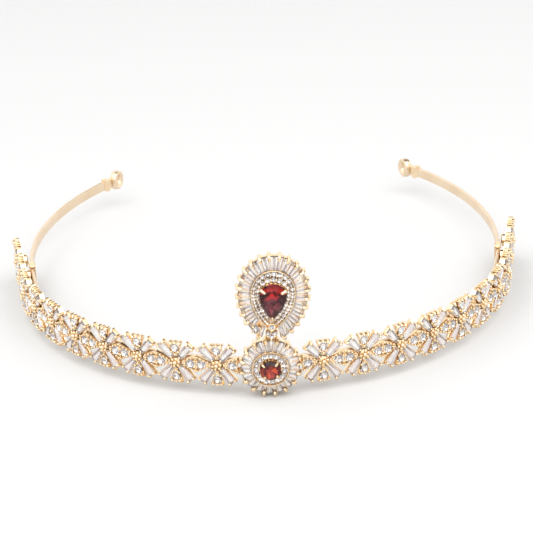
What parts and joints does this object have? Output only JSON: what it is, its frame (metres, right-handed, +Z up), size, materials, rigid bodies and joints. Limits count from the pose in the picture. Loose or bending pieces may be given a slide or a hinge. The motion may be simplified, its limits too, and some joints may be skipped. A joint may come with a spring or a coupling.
{
  "type": "tiara headband",
  "caption": "Horseshoe spring headband faced with a row of star-shaped stone motifs, a round and a pear medallion at the front, and an eyelet at each end.",
  "frame": {"origin": "middle of the footprint, at the height of the lowest claws of the round medallion", "axes": "+Z up along the standing pear medallion, -Y out of the jewelled front, +X to the right as seen from the front"},
  "size_m": [0.1492, 0.1438, 0.0407],
  "materials": {
    "band_gold": "pale gold plating, satin smooth",
    "setting_gold": "yellow gold plating, polished",
    "clear_stone": "colourless faceted stone, polished",
    "red_stone": "dark red faceted stone, polished"
  },
  "bodies": {
    "tiara": {"front_band": "band_gold", "left_saddle": "setting_gold", "left_motif_1_setting": "setting_gold", "left_motif_1_stones": "clear_stone", "left_motif_2_setting": "setting_gold", "left_motif_2_stones": "clear_stone", "left_motif_3_setting": "setting_gold", "left_motif_3_stones": "clear_stone", "left_motif_4_setting": "setting_gold", "left_motif_4_stones": "clear_stone", "left_motif_5_setting": "setting_gold", "left_motif_5_stones": "clear_stone", "left_motif_6_setting": "setting_gold", "left_motif_6_stones": "clear_stone", "left_motif_7_setting": "setting_gold", "left_motif_7_stones": "clear_stone", "left_motif_8_setting": "setting_gold", "left_motif_8_stones": "clear_stone", "left_motif_9_setting": "setting_gold", "left_motif_9_stones": "clear_stone", "left_motif_10_setting": "setting_gold", "left_motif_10_stones": "clear_stone", "right_saddle": "setting_gold", "right_motif_1_setting": "setting_gold", "right_motif_1_stones": "clear_stone", "right_motif_2_setting": "setting_gold", "right_motif_2_stones": "clear_stone", "right_motif_3_setting": "setting_gold", "right_motif_3_stones": "clear_stone", "right_motif_4_setting": "setting_gold", "right_motif_4_stones": "clear_stone", "right_motif_5_setting": "setting_gold", "right_motif_5_stones": "clear_stone", "right_motif_6_setting": "setting_gold", "right_motif_6_stones": "clear_stone", "right_motif_7_setting": "setting_gold", "right_motif_7_stones": "clear_stone", "right_motif_8_setting": "setting_gold", "right_motif_8_stones": "clear_stone", "right_motif_9_setting": "setting_gold", "right_motif_9_stones": "clear_stone", "right_motif_10_setting": "setting_gold", "right_motif_10_stones": "clear_stone", "round_setting": "setting_gold", "round_baguettes": "clear_stone", "round_halo": "clear_stone", "round_garnet": "red_stone", "pear_setting": "setting_gold", "pear_baguettes": "clear_stone", "pear_halo": "clear_stone", "pear_garnet": "red_stone", "pear_tip_stone": "clear_stone", "pear_side_stone": "clear_stone", "medallion_link": "setting_gold"},
    "left_arm": {"left_band_arm": "band_gold", "left_crimp": "setting_gold", "left_eyelet": "band_gold"},
    "right_arm": {"right_band_arm": "band_gold", "right_crimp": "setting_gold", "right_eyelet": "band_gold"}
  },
  "joints": [
    {"name": "left_arm_flex", "type": "hinge", "parent": "tiara", "child": "left_arm", "pos_m": [-0.06848, 0.01642, 0.00848], "axis": [0, 0, 1], "range_deg": [-6, 14], "stiffness_Nm_per_rad": 0.6},
    {"name": "right_arm_flex", "type": "hinge", "parent": "tiara", "child": "right_arm", "pos_m": [0.06848, 0.01642, 0.00848], "axis": [0, 0, -1], "range_deg": [-6, 14], "stiffness_Nm_per_rad": 0.6}
  ]
}
